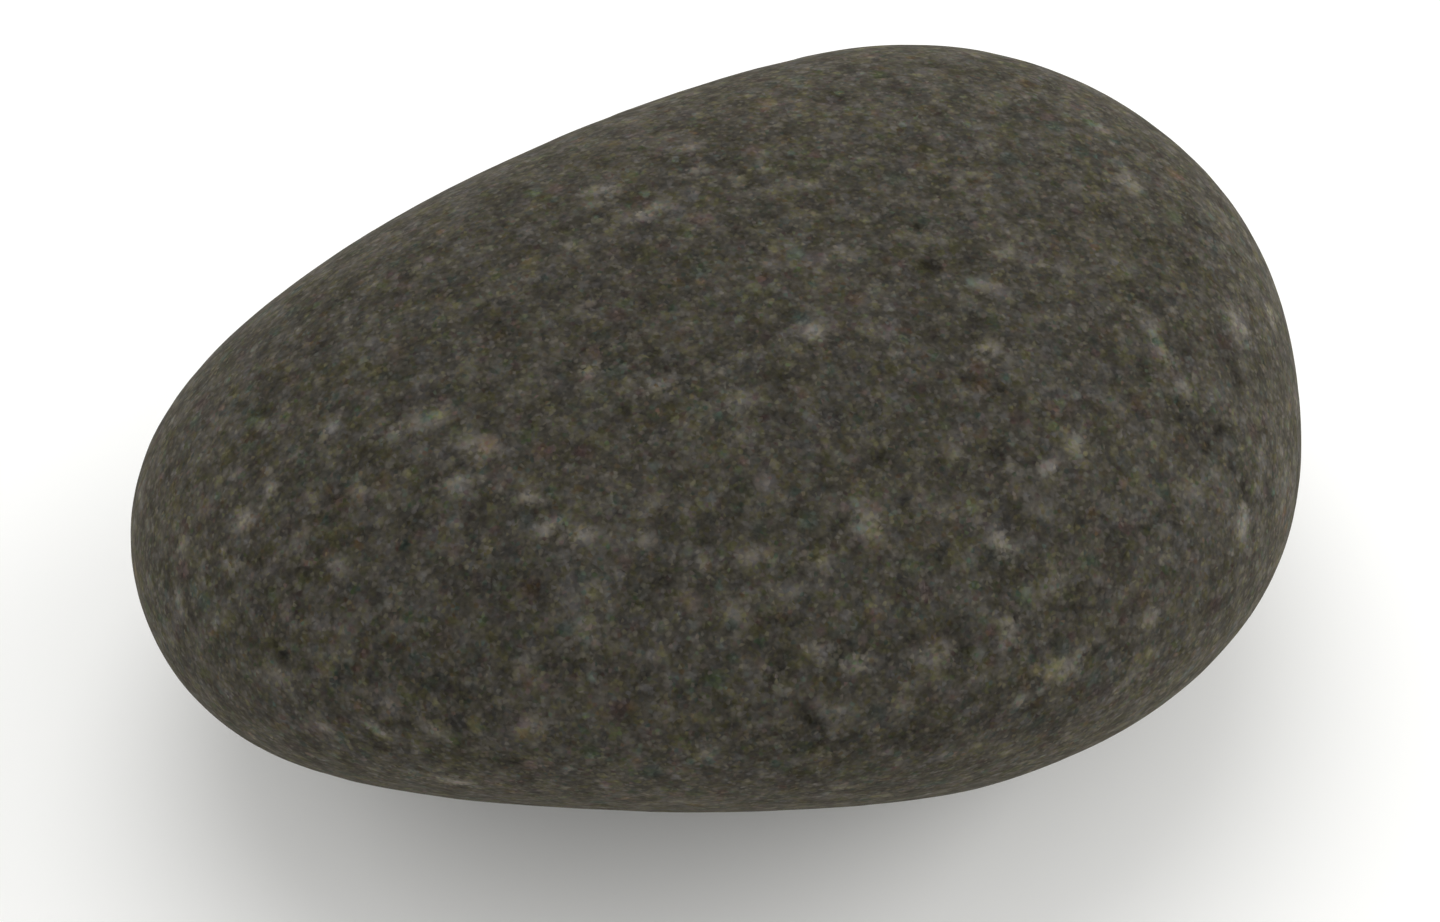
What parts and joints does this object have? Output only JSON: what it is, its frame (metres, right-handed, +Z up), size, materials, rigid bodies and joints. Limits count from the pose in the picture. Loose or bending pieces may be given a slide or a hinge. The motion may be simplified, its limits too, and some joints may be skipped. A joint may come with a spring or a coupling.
{
  "type": "river pebble",
  "caption": "Egg-shaped river pebble of dark, fine-grained rock, worn smooth all over and lying on its flattest side.",
  "frame": {"origin": "on the surface that the stone lies on, under the middle of its bounding box", "axes": "+X along the stone's length towards its blunt end, +Y across it, +Z up through its thickness"},
  "size_m": [0.0758, 0.0592, 0.039],
  "materials": {
    "stone": "water-worn, matt"
  },
  "bodies": {
    "root": {"pebble": "stone"}
  },
  "joints": []
}
